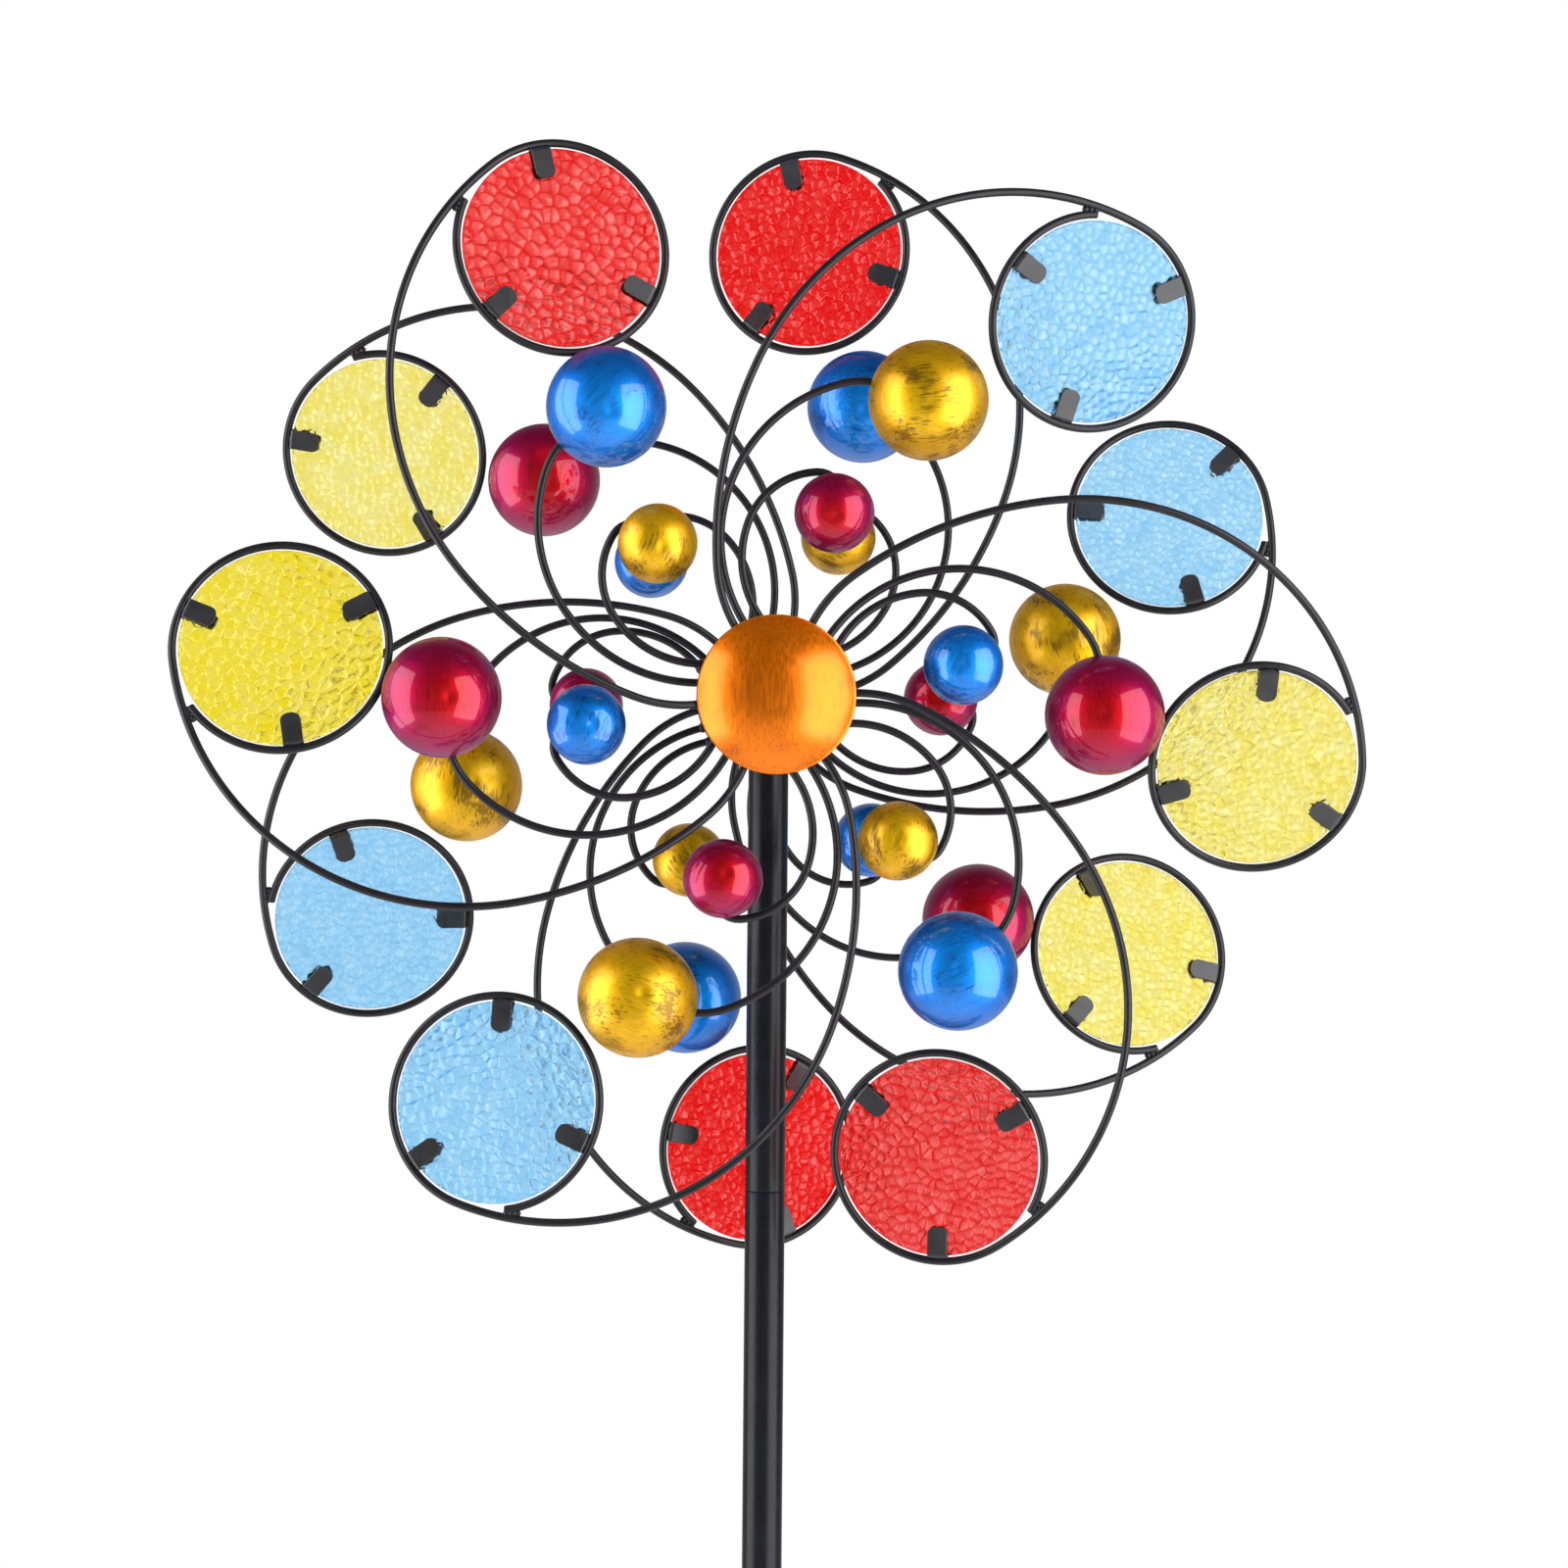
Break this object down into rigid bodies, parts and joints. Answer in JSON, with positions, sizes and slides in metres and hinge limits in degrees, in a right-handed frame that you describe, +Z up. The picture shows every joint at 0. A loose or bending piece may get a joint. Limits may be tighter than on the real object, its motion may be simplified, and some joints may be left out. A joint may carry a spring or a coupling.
{
  "type": "kinetic wind sculpture",
  "caption": "Garden wind spinner: two counter-turning wheels of scrolled wire with glass discs and metal cups on a staked pole.",
  "frame": {"origin": "the pole's centre line at ground level, at the top of the centre spike", "axes": "+Z up the pole, -Y along the axle towards the viewer's side, the wheels' front, and +X to the viewer's right"},
  "size_m": [0.5967, 0.1777, 1.8989],
  "materials": {
    "wire": "satin black powder coat",
    "clip": "satin black",
    "pole_paint": "satin black powder coat",
    "glass_red": "hammered and crackled cast glass, deep red",
    "glass_light_blue": "speckled cast glass, pale blue",
    "glass_yellow": "crackled cast glass, yellow",
    "cup_blue": "glossy translucent lacquer over brushed metal, blue",
    "cup_gold": "glossy lacquer over brushed metal, gold with brown streaks",
    "cup_magenta": "glossy translucent lacquer over metal, crimson to magenta",
    "hub_cap": "glossy translucent lacquer over brushed metal, orange",
    "bush": "plain bearing plastic",
    "plastic": "black moulded plug",
    "zinc_steel": "zinc plated"
  },
  "bodies": {
    "stake": {"ground_fork": "pole_paint", "centre_spike": "pole_paint", "collar_screws": "zinc_steel", "lower_pole": "pole_paint", "middle_pole": "pole_paint"},
    "head": {"upper_pole": "pole_paint", "pole_top_cap": "plastic", "axle_sleeve": "pole_paint", "axle": "zinc_steel", "spacers": "zinc_steel", "washers": "zinc_steel", "front_lock_nut": "zinc_steel", "rear_cap_nut": "zinc_steel"},
    "front_wheel": {"front_outer_wire_1": "wire", "front_outer_wire_2": "wire", "front_outer_wire_3": "wire", "front_outer_wire_4": "wire", "front_outer_wire_5": "wire", "front_outer_wire_6": "wire", "front_glass_1": "glass_red", "front_glass_2": "glass_light_blue", "front_glass_3": "glass_yellow", "front_glass_4": "glass_red", "front_glass_5": "glass_light_blue", "front_glass_6": "glass_yellow", "front_middle_wires": "wire", "front_inner_wires": "wire", "front_clips": "clip", "front_large_cups_blue": "cup_blue", "front_small_cups_blue": "cup_blue", "front_large_cups_gold": "cup_gold", "front_small_cups_gold": "cup_gold", "front_large_cups_magenta": "cup_magenta", "front_small_cups_magenta": "cup_magenta", "front_hub": "wire", "front_bush": "bush", "hub_cap": "hub_cap"},
    "rear_wheel": {"rear_outer_wire_1": "wire", "rear_outer_wire_2": "wire", "rear_outer_wire_3": "wire", "rear_outer_wire_4": "wire", "rear_outer_wire_5": "wire", "rear_outer_wire_6": "wire", "rear_glass_1": "glass_red", "rear_glass_2": "glass_light_blue", "rear_glass_3": "glass_yellow", "rear_glass_4": "glass_red", "rear_glass_5": "glass_light_blue", "rear_glass_6": "glass_yellow", "rear_middle_wires": "wire", "rear_inner_wires": "wire", "rear_clips": "clip", "rear_large_cups_blue": "cup_blue", "rear_small_cups_blue": "cup_blue", "rear_large_cups_gold": "cup_gold", "rear_small_cups_gold": "cup_gold", "rear_large_cups_magenta": "cup_magenta", "rear_small_cups_magenta": "cup_magenta", "rear_hub": "wire", "rear_bush": "bush"}
  },
  "joints": [
    {"name": "head_swivel", "type": "hinge", "parent": "stake", "child": "head", "pos_m": [0, 0, 1.15], "axis": [0, 0, 1], "continuous": true},
    {"name": "front_spin", "type": "hinge", "parent": "head", "child": "front_wheel", "pos_m": [0, -0.0575, 1.405], "axis": [0, -1, 0], "continuous": true},
    {"name": "rear_spin", "type": "hinge", "parent": "head", "child": "rear_wheel", "pos_m": [0, 0.0575, 1.405], "axis": [0, -1, 0], "continuous": true}
  ]
}
